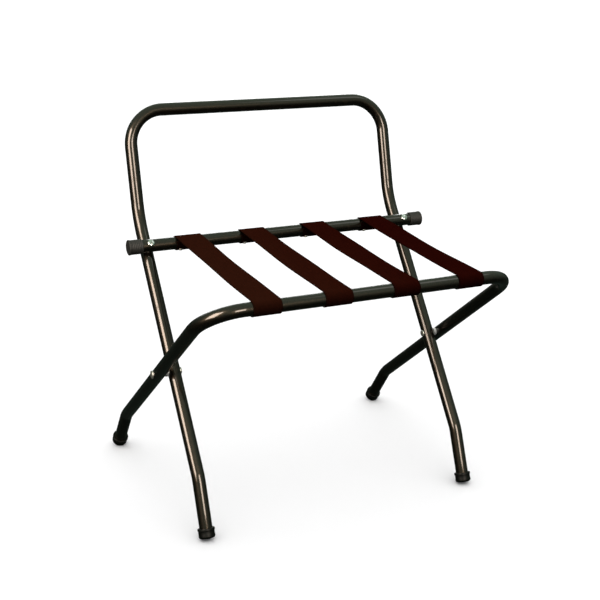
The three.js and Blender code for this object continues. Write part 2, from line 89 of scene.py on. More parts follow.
# %% The side view's directions and points
PIVOT = Vector(frame["joints"][0]["pos_m"])
TUBE_RADIUS = 11.1 * MM
TUBE_WALL = 1.2 * MM
CONTACT_GAP = 0.3 * MM
BACK_LEG_BELOW_PIVOT = 186.5 * MM
BACK_LEG_ABOVE_PIVOT = 283 * MM
GUARD_POST_LENGTH = 188 * MM
SEAT_LEG_BELOW_PIVOT = 247.6 * MM
SEAT_LEG_ABOVE_PIVOT = 280 * MM
REAR_RAIL_REACH = 222 * MM  # from the pivot, along the back leg
SADDLE_WEB = 0.8 * MM
RAIL_STAND_OFF = 2 * (TUBE_RADIUS + CONTACT_GAP) + SADDLE_WEB  # from a post's middle to the rear rail's


def leaning(degrees):
    """The upward direction that leans back by so many degrees, or forwards when they are negative."""
    return Vector((0, math.sin(math.radians(degrees)), math.cos(math.radians(degrees))))


def middle(node):
    """The middle of a CAD node's box."""
    low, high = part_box(node)
    return (low + high) / 2


back_up, guard_up, back_foot_up = leaning(38.2), leaning(16), leaning(23.6)
seat_up, seat_foot_up = leaning(-50.3), leaning(-33.9)
screw_out = Vector((0, -back_up.z, back_up.y))  # square to the back legs, up and forwards

back_foot_bend = PIVOT - back_up * BACK_LEG_BELOW_PIVOT
guard_bend = PIVOT + back_up * BACK_LEG_ABOVE_PIVOT
top_bar = guard_bend + guard_up * GUARD_POST_LENGTH
seat_foot_bend = PIVOT - seat_up * SEAT_LEG_BELOW_PIVOT
front_rail = PIVOT + seat_up * SEAT_LEG_ABOVE_PIVOT
rear_rail = PIVOT + back_up * REAR_RAIL_REACH + screw_out * RAIL_STAND_OFF

back_leg_x = middle("foot_front_right").x
seat_leg_x = middle("foot_rear_right").x


def at(x, point):
    """A point of the side view, moved out to x."""
    return Vector((x, point.y, point.z))


print("top of the guard, mm:", round((top_bar.z + TUBE_RADIUS) / MM, 1), "CAD:", round(cad_box[1].z / MM, 1))
print("legs at x, mm:", round(back_leg_x / MM, 1), round(seat_leg_x / MM, 1))

# %% [markdown]
# Skins from rings
#
# A tube, a strap and a turned screw are all made the same way here: a row of rings of points, joined by a
# skin of four-sided faces. It could be done with curves and bevels, but rings give full control over the
# shape at every step, and they work for pieces that aren't round.

# %% One function that skins a row of rings
SHARP_ANGLE = math.radians(35)


def skinned(name, rings, closed=False, coordinates=None):
    """A mesh over rings of equally many points. A closed row joins its last ring to its first, and otherwise
    each end gets a face. coordinates gives a (u, v) for each point of each ring, in the map named weave."""
    bm = bmesh.new()
    points = [[bm.verts.new(p) for p in ring] for ring in rings]
    weave = bm.loops.layers.uv.new("weave") if coordinates else None
    count, around = len(rings), len(rings[0])

    def face(corners):
        made = bm.faces.new([points[i][j % around] for i, j in corners])
        if weave:
            for loop, (i, j) in zip(made.loops, corners):
                loop[weave].uv = coordinates(i, j)

    for i in range(count if closed else count - 1):
        for j in range(around):
            face([(i, j), (i, j + 1), ((i + 1) % count, j + 1), ((i + 1) % count, j)])
    if not closed:
        face([(0, j) for j in reversed(range(around))])
        face([(count - 1, j) for j in range(around)])
    bmesh.ops.remove_doubles(bm, verts=bm.verts, dist=1e-7)
    bmesh.ops.recalc_face_normals(bm, faces=bm.faces)
    mesh = bpy.data.meshes.new(name)
    bm.to_mesh(mesh)
    bm.free()
    mesh.shade_smooth()
    mesh.set_sharp_from_angle(angle=SHARP_ANGLE)
    piece = bpy.data.objects.new(name, mesh)
    bpy.context.collection.objects.link(piece)
    return piece


# %% [markdown]
# Bent tubes
#
# The frames are one length of steel tube each, bent cold round a die. Straight runs stay straight and the
# bends are arcs, so a centreline of corners with a radius each says all of it. The rings must not twist as
# they go round bends in different planes, so each ring is the last one turned by the smallest rotation that
# follows the centreline. In a bend the outer wall stretches and the tube goes slightly oval, which shows as
# a softer highlight there.

# %% The arc that rounds a corner
TUBE_SIDES = 48
BEND_STEP = math.radians(4)
OVALITY = 0.035  # how much of its width a tube loses in the plane of a tight bend
TIGHT_BEND = 62 * MM


def arc(before, corner, after, radius):
    """(point, direction, bend) along the arc. bend points away from the arc's centre, and its length says how
    oval the tube is there."""
    back, ahead = (before - corner).normalized(), (after - corner).normalized()
    turn = math.pi - back.angle(ahead)
    to_centre = (back + ahead).normalized()
    centre = corner + to_centre * radius / math.cos(turn / 2)
    start = corner + back * radius * math.tan(turn / 2) - centre
    steps = max(4, math.ceil(turn / BEND_STEP))
    found = []
    for step in range(steps + 1):
        angle = turn * step / steps
        out = start * math.cos(angle) - back * radius * math.sin(angle)
        along = start * (-math.sin(angle) / radius) - back * math.cos(angle)
        oval = OVALITY * min(1, TIGHT_BEND / radius) * math.sin(math.pi * step / steps) ** 0.5
        found.append((centre + out, along, out.normalized() * oval))
    return found


# %% A hollow tube along a centreline
def tube(name, corners, radii):
    """A bent tube through its corners: its outer and inner skin, and the rings of metal at its two ends."""
    none = Vector((0, 0, 0))
    line = [(corners[0], (corners[1] - corners[0]).normalized(), none)]
    for index, radius in enumerate(radii):
        line += arc(*corners[index:index + 3], radius)
    line.append((corners[-1], (corners[-1] - corners[-2]).normalized(), none))

    side = line[0][1].orthogonal().normalized()
    outer, inner = [], []
    for index, (point, direction, bend) in enumerate(line):
        if index:
            side = line[index - 1][1].rotation_difference(direction) @ side
        other = direction.cross(side)
        spokes = [
            side * math.cos(math.tau * k / TUBE_SIDES) + other * math.sin(math.tau * k / TUBE_SIDES)
            for k in range(TUBE_SIDES)
        ]
        squeezed = [s - bend * s.dot(bend.normalized()) for s in spokes] if bend.length else spokes
        outer.append([point + s * TUBE_RADIUS for s in squeezed])
        inner.append([point + s * (TUBE_RADIUS - TUBE_WALL) for s in squeezed])
    piece = skinned(name, outer + inner[::-1], closed=True)
    length = sum((a[0] - b[0]).length for a, b in zip(line, line[1:]))
    print(name, "is cut from", round(length / MM), "mm of tube")
    return piece


# %% Where each leg ends inside its rubber foot
FOOT_WALL = 2.6 * MM
FOOT_RADIUS = TUBE_RADIUS + CONTACT_GAP + FOOT_WALL
FOOT_EDGE = 4 * MM
FOOT_SOLE = 5 * MM
FOOT_FLAT = 0.8 * MM  # how far the edge is pressed flat on the floor


def sole_of(bend, up):
    """The middle of a foot's sole. The sole is square to the leg, so the foot stands on its edge."""
    height = (FOOT_RADIUS - FOOT_EDGE) * abs(up.y) + FOOT_EDGE * (1 - up.z) - FOOT_FLAT
    return bend + up * (height - bend.z) / up.z


front_sole = sole_of(back_foot_bend, back_foot_up)
rear_sole = sole_of(seat_foot_bend, seat_foot_up)
front_end = front_sole + back_foot_up * (FOOT_SOLE + CONTACT_GAP)
rear_end = rear_sole + seat_foot_up * (FOOT_SOLE + CONTACT_GAP)

# %% The three painted tubes
FOOT_BEND = 60 * MM
GUARD_BEND = 150 * MM
GUARD_CORNER = 62 * MM
SEAT_CORNER = 65 * MM
back_corners = [(-back_leg_x, p) for p in (front_end, back_foot_bend, guard_bend, top_bar)]
back_corners += [(-x, p) for x, p in reversed(back_corners)]
back_bends = [FOOT_BEND, GUARD_BEND, GUARD_CORNER]
back_tube = tube("back_frame", [at(x, p) for x, p in back_corners], back_bends + back_bends[::-1])

seat_corners = [(-seat_leg_x, p) for p in (rear_end, seat_foot_bend, front_rail)]
seat_corners += [(-x, p) for x, p in reversed(seat_corners)]
seat_bends = [FOOT_BEND, SEAT_CORNER]
seat_tube = tube("seat_frame", [at(x, p) for x, p in seat_corners], seat_bends + seat_bends[::-1])

rail_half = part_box("rear_rail_tube")[1].x
rail_tube = tube("rear_rail", [at(-rail_half, rear_rail), at(rail_half, rear_rail)], [])

# %% [markdown]
# Turned pieces
#
# Screws, bolts, rivets, spacers, end caps and rubber feet are all round, so each is a profile spun about an
# axis. No real edge is a perfect corner, and it is the small rounding that catches the light, so the
# profile's corners are eased before it is spun. A nut is spun in the same way, with a radius that changes
# with the angle.

# %% Easing a profile and spinning it
def eased(profile, radius, steps=3):
    """The profile with each inner corner rounded by a short curve that starts at most radius before it."""
    result = [Vector(profile[0])]
    for before, corner, after in zip(profile, profile[1:], profile[2:]):
        before, corner, after = Vector(before), Vector(corner), Vector(after)
        reach = min(radius, (before - corner).length * 0.45, (after - corner).length * 0.45)
        start = corner + (before - corner).normalized() * reach
        end = corner + (after - corner).normalized() * reach
        for step in range(steps + 1):
            t = step / steps
            result.append(start * (1 - t) ** 2 + corner * 2 * t * (1 - t) + end * t**2)
    return result + [Vector(profile[-1])]


def spun(name, profile, start, axis, sides=48, shape=None, closed=False):
    """A profile of (radius, height) points in metres, spun about the axis from start.
    shape(radius, height, angle) may return another radius."""
    turn = Vector((0, 0, 1)).rotation_difference(axis)
    rings = []
    for radius, height in profile:
        ring = []
        for k in range(sides):
            angle = math.tau * k / sides
            r = shape(radius, height, angle) if shape else radius
            ring.append(start + turn @ Vector((r * math.cos(angle), r * math.sin(angle), height)))
        rings.append(ring)
    return skinned(name, rings, closed=closed)


def dome(radius, base, height, steps=8):
    """Profile points of a low dome, from its edge to its crown."""
    angles = [math.pi / 2 * step / steps for step in range(steps + 1)]
    return [(radius * math.cos(a), base + height * math.sin(a)) for a in angles]


# %% [markdown]
# The rear rail's end caps
#
# A black plastic sleeve is pushed over each end of the rear rail. It has fine rings moulded round it for
# grip and a plain rim at its closed end. The rings are real steps in the profile, because they show in the
# cap's outline.

# %% Ribbed end caps
CAP_LENGTH = 25 * MM
CAP_RIM = 3.5 * MM
CAP_WALL = 1.5 * MM
CAP_END = 2.5 * MM  # thickness of the closed end
CAP_OUTER = TUBE_RADIUS + CONTACT_GAP + CAP_WALL
CAP_RIBS = 7
CAP_RIB_DEPTH = 0.5 * MM
CAP_RIM_PROUD = 0.5 * MM


def end_cap(side_name, side):
    ribbed = CAP_LENGTH - CAP_RIM
    pitch = ribbed / CAP_RIBS
    bore = CAP_OUTER - CAP_WALL
    profile = [(0, CAP_LENGTH - CAP_END), (bore, CAP_LENGTH - CAP_END), (bore, 0)]
    for rib in range(CAP_RIBS):
        low, base = CAP_OUTER - CAP_RIB_DEPTH, rib * pitch
        profile += [(low, base), (low, base + 0.25 * pitch), (CAP_OUTER, base + 0.4 * pitch),
                    (CAP_OUTER, base + 0.85 * pitch)]
    rim = CAP_OUTER + CAP_RIM_PROUD
    profile += [(CAP_OUTER - CAP_RIB_DEPTH, ribbed), (rim, ribbed + 0.4 * MM), (rim, CAP_LENGTH - 0.9 * MM),
                (rim - 1.6 * MM, CAP_LENGTH), (0, CAP_LENGTH)]
    outer_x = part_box(f"rail_end_cap_{side_name}")[1 if side > 0 else 0].x
    start = at(outer_x - side * CAP_LENGTH, rear_rail)
    return spun(f"end_cap_{side_name}", eased(profile, 0.3 * MM), start, Vector((side, 0, 0)), sides=64)


SIDES = {"left": -1, "right": 1}
end_caps = {name: end_cap(name, side) for name, side in SIDES.items()}
print("end caps:", [len(c.data.polygons) for c in end_caps.values()], "faces")

# %% [markdown]
# Rubber feet
#
# Each leg ends in a moulded rubber tip with a raised rim at its mouth and a rounded edge at its sole. The
# legs meet the floor at a slant, so a foot stands on one side of that edge, and the weight presses it flat.
# Here the points that would lie below the floor are simply moved up to it, which is what the floor does to
# soft rubber.

# %% Feet, pressed flat on the floor
FOOT_LENGTH = 17 * MM
FOOT_RIM = 4 * MM
FOOT_RIM_PROUD = 0.6 * MM
FOOT_WAIST = 0.3 * MM  # how much slimmer the foot is between its edge and its rim


def foot(name, x, sole, up):
    mouth = TUBE_RADIUS + 0.1 * MM
    edge = [(FOOT_RADIUS - FOOT_EDGE * (1 - math.sin(a)), FOOT_EDGE * (1 - math.cos(a)))
            for a in [math.pi / 2 * k / 8 for k in range(9)]]
    body, rim, rim_base = FOOT_RADIUS - FOOT_WAIST, FOOT_RADIUS + FOOT_RIM_PROUD, FOOT_LENGTH - FOOT_RIM
    wall = [(body, FOOT_SOLE + 3 * MM), (body, rim_base - 0.6 * MM)]
    wall += [(rim, rim_base + 0.2 * MM), (rim, FOOT_LENGTH - 0.4 * MM)]
    inside = [(FOOT_RADIUS, FOOT_LENGTH), (mouth, FOOT_LENGTH), (mouth, FOOT_SOLE), (0, FOOT_SOLE)]
    tread = [(0, 0.5 * MM), (7.5 * MM, 0.5 * MM), (8.2 * MM, 0)]  # a shallow round hollow in the sole
    profile = eased(tread, 0.3 * MM)[:-1] + edge + eased([edge[-1]] + wall + inside, 0.5 * MM)[1:]
    piece = spun(name, profile, at(x, sole), up)
    for vertex in piece.data.vertices:
        vertex.co.z = max(vertex.co.z, 0)
    return piece


feet = {}
legs = {"front": (back_leg_x, front_sole, back_foot_up), "rear": (seat_leg_x, rear_sole, seat_foot_up)}
for side_name, side in SIDES.items():
    for end, (x, sole, up) in legs.items():
        feet[f"{end}_{side_name}"] = foot(f"rubber_foot_{end}_{side_name}", side * x, sole, up)
print("feet stand at y, mm:", round(front_sole.y / MM, 1), round(rear_sole.y / MM, 1))

# %% [markdown]
# The rear rail's screws
#
# A chrome screw goes through the rail and each post, with a low pan head that has a cross recess. The
# recess is cut out of the spun head by a Boolean with two crossed blades, because a cross isn't round and
# can't come from the profile. Behind the post the screw's end stands past its nut, and there its thread
# shows.

# %% A thread as a rippled radius
def threaded(first, last, pitch, depth):
    """A shape for spun(): the radius ripples along a helix between two heights."""
    def radius(r, height, angle):
        if not first < height < last or r == 0:
            return r
        return r - depth * (0.5 - 0.5 * math.cos(math.tau * (height / pitch) - angle))
    return radius


def cut_out(piece, cutter):
    """Cuts the cutter's shape out of the piece and removes the cutter."""
    modifier = piece.modifiers.new("cut", "BOOLEAN")
    modifier.object, modifier.operation, modifier.solver = cutter, "DIFFERENCE", "EXACT"
    bpy.context.view_layer.update()
    cut = bpy.data.meshes.new_from_object(piece.evaluated_get(bpy.context.evaluated_depsgraph_get()))
    piece.modifiers.clear()
    piece.data = cut
    cut.name = piece.name
    cut.set_sharp_from_angle(angle=SHARP_ANGLE)
    bpy.data.objects.remove(cutter)


# %% Pan-head screws with a cross recess
HEAD_BASE = TUBE_RADIUS + 0.1 * MM
HEAD_RADIUS = 6.4 * MM
HEAD_CROWN = HEAD_BASE + 3.5 * MM
SCREW_RADIUS = 2.5 * MM
SCREW_TIP = 40.5 * MM  # how far the screw reaches behind the rail's centre
RECESS_DEPTH = 2.0 * MM
RECESS_REACH = 2.4 * MM
RECESS_HALF_WIDTH = 0.55 * MM
THREAD_PITCH = 0.8 * MM
THREAD_DEPTH = 0.35 * MM
THREAD_END = -SCREW_TIP + 6.5 * MM


def blade(start, axis, across, length, width):
    """One tapered blade of the recess's cutter, pointing down into the head."""
    third = axis.cross(across)
    top, bottom = start + axis * 4 * MM, start - axis * RECESS_DEPTH

    def ring(centre, scale):
        return [centre + across * sx * length * scale + third * sy * width for sx, sy in
                ((-1, -1), (1, -1), (1, 1), (-1, 1))]
    return skinned("blade", [ring(bottom, 0.45), ring(top, 1.6)])


def rail_screw(side_name, side):
    centre = at(side * back_leg_x, rear_rail)
    shank, chamfer = SCREW_RADIUS, -SCREW_TIP + 0.7 * MM
    head = [(HEAD_RADIUS, HEAD_BASE), (HEAD_RADIUS, HEAD_BASE + 0.9 * MM)]
    head += dome(HEAD_RADIUS - 0.2 * MM, HEAD_BASE + 1.1 * MM, 2.4 * MM)
    tip = [(0, -SCREW_TIP), (shank - 0.6 * MM, -SCREW_TIP), (shank, chamfer)]
    fine = [(shank, chamfer + 0.1 * MM * k) for k in range(1, 60)]  # close enough to carry the thread
    neck = [(shank, HEAD_BASE - 2 * MM), (shank, HEAD_BASE)]
    profile = eased(tip, 0.2 * MM) + fine + eased(neck + head[:3], 0.3 * MM) + head[3:]
    thread = threaded(chamfer + 0.1 * MM, THREAD_END, THREAD_PITCH, THREAD_DEPTH)
    screw = spun(f"cross_screw_{side_name}", profile, centre, screw_out, shape=thread)
    crown = centre + screw_out * HEAD_CROWN
    driven = Quaternion(screw_out, math.radians(45 if side > 0 else 20))  # where each screw stopped turning
    across = driven @ Vector((1, 0, 0))
    for direction in (across, screw_out.cross(across)):
        cut_out(screw, blade(crown, screw_out, direction, RECESS_REACH, RECESS_HALF_WIDTH))
    return screw


rail_screws = {name: rail_screw(name, side) for name, side in SIDES.items()}
print("rail screws:", [len(s.data.polygons) for s in rail_screws.values()], "faces")

# %% [markdown]
# Nuts
#
# A nut is a hexagon whose corners are turned off to a cone at its faces. Spinning it with a radius that is
# the smaller of the hexagon's and the cone's gives both at once, with no cutting. Only the rail screws have
# plain nuts, because they sit behind the posts, out of sight.

# %% Hexagons with turned-off corners
def hexagonal(flat, ends, slope=0.5):
    """A shape for spun(): a hexagon whose inside radius is flat, with its corners turned off at both ends."""
    low, high = ends
    across_corners = flat / math.cos(math.pi / 6)

    def radius(r, height, angle):
        if r < flat or not low - 1e-6 <= height <= high + 1e-6:
            return r
        hexagon = flat / math.cos((angle + math.pi / 6) % (math.pi / 3) - math.pi / 6)
        into = min(height - low, high - height) / slope
        return min(hexagon, flat + into * 0.9, across_corners - 0.15 * MM)
    return radius


def nut_levels(radius, low, high):
    """Profile points up a nut's side, closer together where its corners are turned off."""
    chamfer = [0, 0.15, 0.3, 0.45, 0.6, 0.8]
    return [(radius, low + c * MM) for c in chamfer] + [(radius, high - c * MM) for c in reversed(chamfer)]


NUT_FLAT = 4 * MM  # from the nut's axis to its flats
NUT_HEIGHT = 4 * MM
NUT_BORE = SCREW_RADIUS + 0.05 * MM


def rail_nut(side_name, side):
    mouth, chamfer = NUT_BORE + 0.3 * MM, 0.3 * MM
    profile = [(NUT_BORE, 0), (mouth, 0)] + nut_levels(NUT_FLAT, 0, NUT_HEIGHT)
    profile += [(mouth, NUT_HEIGHT), (NUT_BORE, NUT_HEIGHT - chamfer), (NUT_BORE, chamfer)]
    behind = RAIL_STAND_OFF + TUBE_RADIUS + 2 * CONTACT_GAP + NUT_HEIGHT
    start = at(side * back_leg_x, rear_rail) - screw_out * behind
    shape = hexagonal(NUT_FLAT, (0, NUT_HEIGHT))
    return spun(f"plain_nut_{side_name}", profile, start, screw_out, sides=72, shape=shape, closed=True)


rail_nuts = {name: rail_nut(name, side) for name, side in SIDES.items()}
print("rail nuts:", [len(n.data.polygons) for n in rail_nuts.values()], "faces")

# %% [markdown]
# The pivots
#
# On each side a bolt goes through the seat leg and a white nylon spacer, and screws into a barrel nut that
# fills the hole in the back leg. Both have wide low heads, so that they can't catch on clothes. The spacer
# keeps the paint of the two legs apart, and it is the only bright thing between them.

# %% Bolts, barrel nuts and spacers
BOLT_RADIUS = 3 * MM
BOLT_BORE = BOLT_RADIUS + 0.1 * MM
BOLT_REACH = 10.3 * MM  # from the back leg's middle to the bolt's tip
BARREL_RADIUS = 4.5 * MM
BARREL_FLOOR = 0.8 * MM  # from the end of the barrel's bore to the underside of its head
SPACER_RADIUS = 7 * MM
PIVOT_HEAD_HEIGHT = 2.3 * MM
HEAD_EDGE = 0.7 * MM  # straight edge of a pivot's head, below its dome


def low_head(radius, base):
    """Profile points of a wide low head: its straight edge, and its dome up to the crown."""
    edge = [(radius, base), (radius, base + HEAD_EDGE)]
    dome_base = HEAD_EDGE + 0.2 * MM
    return edge, dome(radius - 0.1 * MM, base + dome_base, PIVOT_HEAD_HEIGHT - dome_base, steps=12)


def pivot_bolt(side_name, side):
    tip, under = back_leg_x - BOLT_REACH, seat_leg_x + TUBE_RADIUS + CONTACT_GAP / 3
    length = under - tip
    edge, crown = low_head(7.25 * MM, length)
    shank = [(0, 0), (BOLT_RADIUS - 0.4 * MM, 0), (BOLT_RADIUS, 0.5 * MM), (BOLT_RADIUS, length)]
    profile = eased(shank + edge, 0.2 * MM) + crown
    return spun(f"bolt_{side_name}", profile, at(side * tip, PIVOT), Vector((side, 0, 0)), sides=64)


def barrel_nut(side_name, side):
    end, seat = back_leg_x + TUBE_RADIUS - CONTACT_GAP, back_leg_x - TUBE_RADIUS - CONTACT_GAP / 3
    length = end - seat
    edge, crown = low_head(6 * MM, length)
    bore = length - BARREL_FLOOR
    inside = [(0, bore), (BOLT_BORE, bore), (BOLT_BORE, 0.4 * MM), (BOLT_BORE + 0.4 * MM, 0)]
    profile = eased(inside + [(BARREL_RADIUS, 0), (BARREL_RADIUS, length)] + edge, 0.2 * MM) + crown
    return spun(f"barrel_nut_{side_name}", profile, at(side * end, PIVOT), Vector((-side, 0, 0)), sides=64)


def spacer(side_name, side):
    """A ring that fills the gap between the legs. Its profile closes on itself."""
    base = back_leg_x + TUBE_RADIUS + 0.1 * MM
    length = seat_leg_x - TUBE_RADIUS - 0.1 * MM - base
    corners = [(BOLT_BORE, 0), (SPACER_RADIUS, 0), (SPACER_RADIUS, length), (BOLT_BORE, length)]
    around = eased(corners[-1:] + corners + corners[:1], 0.6 * MM)[1:-1]
    start, outwards = at(side * base, PIVOT), Vector((side, 0, 0))
    return spun(f"nylon_spacer_{side_name}", around, start, outwards, closed=True)


bolts = {name: pivot_bolt(name, side) for name, side in SIDES.items()}
barrel_nuts = {name: barrel_nut(name, side) for name, side in SIDES.items()}
spacers = {name: spacer(name, side) for name, side in SIDES.items()}
print("gap between the legs, mm:", round((seat_leg_x - back_leg_x - 2 * TUBE_RADIUS) / MM, 2))

# %% [markdown]
# Webbing straps
#
# Each strap is a length of woven webbing that goes over the deck, right round both rails, and is riveted
# under them. It could be a flat sheet with a Solidify modifier, but webbing has a thick rolled edge on each
# side, so here the band's whole outline is carried along the path. The stretched deck isn't quite flat: the
# cloth has taken a slight set from years of suitcases, so it sags a little and its edges wave.

# %% The path of a strap, seen from the side
STRAP_WIDTH = 48 * MM
STRAP_THICKNESS = 1.6 * MM
STRAP_WRAP = 300  # degrees round each rail
WRAP_STEP = 6  # degrees
DECK_STEPS = 60
WRAP_RADIUS = TUBE_RADIUS + 0.12 * MM + STRAP_THICKNESS / 2
towards_front = (front_rail - rear_rail).normalized()
deck_up = Vector((0, towards_front.z, -towards_front.y))


def strap_path():
    """(point, outward direction, share of the deck) along the middle of the webbing, from tail to tail."""
    def wrap(centre, away, angles):
        for degrees in angles:
            a = math.radians(degrees)
            out = deck_up * math.cos(a) + away * math.sin(a)
            yield centre + out * WRAP_RADIUS, out, None
    start, end = rear_rail + deck_up * WRAP_RADIUS, front_rail + deck_up * WRAP_RADIUS
    yield from wrap(rear_rail, -towards_front, range(STRAP_WRAP, -1, -WRAP_STEP))
    for step in range(1, DECK_STEPS):
        yield start.lerp(end, step / DECK_STEPS), deck_up, step / DECK_STEPS
    yield from wrap(front_rail, towards_front, range(0, STRAP_WRAP + 1, WRAP_STEP))


path = list(strap_path())
print("a strap is", round(sum((a[0] - b[0]).length for a, b in zip(path, path[1:])) / MM, 1), "mm long")

# %% The outline of the webbing, across its width
EDGE_BEAD = 0.16 * MM  # how much thicker the rolled edge is
EDGE_GROOVE = 0.12 * MM  # how deep the groove beside it is


def webbing_outline():
    """(across, up) round the webbing's section, from its left edge over the top and back underneath."""
    half, thick = STRAP_WIDTH / 2, STRAP_THICKNESS / 2
    flats = [half - d * MM for d in (1.2, 2.2, 2.9, 3.6)]
    inner = [half * k / 6 for k in range(-5, 6)]
    across = [-x for x in flats] + [x for x in inner if abs(x) < flats[-1]] + flats[::-1]

    def lift(x):
        edge = max(0, 1 - (half - abs(x)) / (3.2 * MM))
        bead = EDGE_BEAD * math.sin(math.pi * min(1, edge * 1.1))
        return thick + bead - (EDGE_GROOVE if 0 < edge < 0.18 else 0)
    top = [(x, lift(x)) for x in across]
    turn = [(half - 0.75 * MM + 0.75 * MM * math.cos(a), thick * 0.92 * math.sin(a))
            for a in [math.radians(d) for d in (60, 30, 0, -30, -60)]]
    bottom = [(x, -z) for x, z in reversed(top)]
    return top + turn + bottom + [(-x, -z) for x, z in turn]


outline = webbing_outline()
print("points round the webbing:", len(outline))

# %% Four straps, each with its own set
STRAP_SAG = 2.2 * MM
EDGE_WAVE = 0.9 * MM


def strap(number, x):
    """One strap. Its sag, its lean and the wave of its edges differ a little from its neighbours'."""
    lengths, total, last = [], 0.0, path[0][0]
    for point, _, _ in path:
        total += (point - last).length
        lengths.append(total)
        last = point
    phase = 1.7 * number
    rings = []
    for point, out, share in path:
        sag = STRAP_SAG * (0.8 + 0.12 * number) * math.sin(math.pi * share) if share else 0
        twist = 0 if share is None else math.sin(math.pi * share) * math.sin(math.tau * share * 1.15 + phase)
        rings.append([
            Vector((x + a, 0, 0)) + Vector((0, point.y, point.z))
            + out * (up - sag + EDGE_WAVE * twist * a / (STRAP_WIDTH / 2))
            for a, up in outline
        ])
    across = [a / MM for a, _ in outline]

    def coordinates(i, j):
        return across[j % len(outline)] + 24, lengths[i] / MM
    return skinned(f"webbing_strap_{number}", rings, coordinates=coordinates)


strap_xs = [middle(f"strap_{n}").x for n in range(1, 5)]
straps = [strap(n, x) for n, x in enumerate(strap_xs, 1)]
print("straps at x, mm:", [round(x / MM, 1) for x in strap_xs])

# %% [markdown]
# Rivets
#
# A pop rivet's head is a low dome with a small round hole, where the pin that pulled it tight has snapped
# off. Two of them hold each end of a strap, under the rail. The CAD rivets say where each one is along its
# rail, and all of them point out from their rail at the same angle.

# %% Pop rivets
RIVET_ANGLE = math.radians(220)


def rivet(name, x, rail, away):
    out = deck_up * math.cos(RIVET_ANGLE) + away * math.sin(RIVET_ANGLE)
    base = WRAP_RADIUS + STRAP_THICKNESS / 2 - 0.05 * MM
    profile = [(0, base - 3 * MM), (1.6 * MM, base - 3 * MM), (1.6 * MM, base)]
    profile += eased([(1.6 * MM, base), (3.4 * MM, base), (3.4 * MM, base + 0.35 * MM)], 0.15 * MM)[1:-1]
    profile += dome(3.3 * MM, base + 0.4 * MM, 1.25 * MM, steps=10)[:-3]
    lip, floor = base + 1.5 * MM, base + 0.6 * MM
    profile += [(1.05 * MM, lip), (0.95 * MM, lip - 0.15 * MM), (0.95 * MM, floor), (0, floor)]
    return spun(name, profile, at(x, rail), out, sides=32)


rivets = {}
rails = {"rear": (rear_rail, -towards_front), "front": (front_rail, towards_front)}
for number in range(1, 5):
    for rail_name, (rail, away) in rails.items():
        for side_name in SIDES:
            node = f"{rail_name}_rivet_{number}_{side_name}"
            rivets[node] = rivet(f"pop_{node}", middle(node).x, rail, away)
print(len(rivets), "rivets")

# %% [markdown]
# Shader arithmetic
#
# A material's nodes are easier to read as formulas. Shade wraps one output socket. Adding or multiplying it
# makes the Math nodes, and node() makes any other node: its settings first, then the values or links of its
# sockets.

# %% The Shade class
class Shade:
    """An output socket in a material's nodes, with arithmetic on values."""

    def __init__(self, tree, socket=None):
        self.tree, self.socket = tree, socket

    def node(self, kind, settings=None, inputs=None, output=0):
        made = self.tree.nodes.new(kind)
        for name, value in (settings or {}).items():
            if name == "stops":
                while len(made.color_ramp.elements) < len(value):
                    made.color_ramp.elements.new(1)
                for element, (place, colour) in zip(made.color_ramp.elements, value):
                    element.position, element.color = place, colour
            else:
                setattr(made, name, value)
        for name, value in (inputs or {}).items():
            if isinstance(value, Shade):
                self.tree.links.new(value.socket, made.inputs[name])
            else:
                made.inputs[name].default_value = value
        return Shade(self.tree, made.outputs[output] if made.outputs else None)

    def maths(self, operation, *values):
        return self.node("ShaderNodeMath", {"operation": operation}, dict(enumerate(values)))

    def __add__(self, other):
        return self.maths("ADD", self, other)

    def __mul__(self, other):
        return self.maths("MULTIPLY", self, other)

    __radd__, __rmul__ = __add__, __mul__

    def __sub__(self, other):
        return self.maths("SUBTRACT", self, other)

    def __rsub__(self, other):
        return self.maths("SUBTRACT", other, self)

    def __truediv__(self, other):
        return self.maths("DIVIDE", self, other)

    def __pow__(self, other):
        return self.maths("POWER", self, other)

    def sine(self):
        return self.maths("SINE", self)

    def size(self):
        return self.maths("ABSOLUTE", self)

    def floor(self):
        return self.maths("FLOOR", self)

    def most(self, other):
        return self.maths("MAXIMUM", self, other)

    def between(self, low, high):
        """0 below low, 1 above high, and a smooth step from one to the other."""
        return self.node("ShaderNodeMapRange", {"interpolation_type": "SMOOTHSTEP"},
                         {"Value": self, "From Min": low, "From Max": high})


def mixed(share, first, second):
    """A colour between two colours. They are inputs 6 and 7 of a Mix node, and its output 2 is the colour."""
    return share.node("ShaderNodeMix", {"data_type": "RGBA"}, {0: share, 6: first, 7: second}, output=2)


# %% Helpers for a whole material
def linear(hexadecimal):
    """A colour written as on a screen, such as 2a0c08, as the linear values that a shader takes."""
    levels = [int(hexadecimal[k:k + 2], 16) / 255 for k in (0, 2, 4)]
    return tuple(v / 12.92 if v <= 0.04045 else ((v + 0.055) / 1.055) ** 2.4 for v in levels) + (1,)


def grey(level):
    """A grey, white or brighter colour, as a linear value."""
    return (level, level, level, 1)


def blank(name):
    """A new material with no nodes yet, and a Shade to build on."""
    material = bpy.data.materials.new(name)
    material.use_nodes = True
    material.node_tree.nodes.clear()
    return material, Shade(material.node_tree)


def position(shade):
    """Where a point is on the rack, in metres, at rest."""
    return shade.node("ShaderNodeTexCoord", output=3)


def noise(shade, place, scale, detail=3.0, roughness=0.5):
    """Soft random values about 0.5, at so many bumps in each unit of place."""
    return shade.node("ShaderNodeTexNoise", {"noise_dimensions": "3D"},
                      {"Vector": place, "Scale": scale, "Detail": detail, "Roughness": roughness})


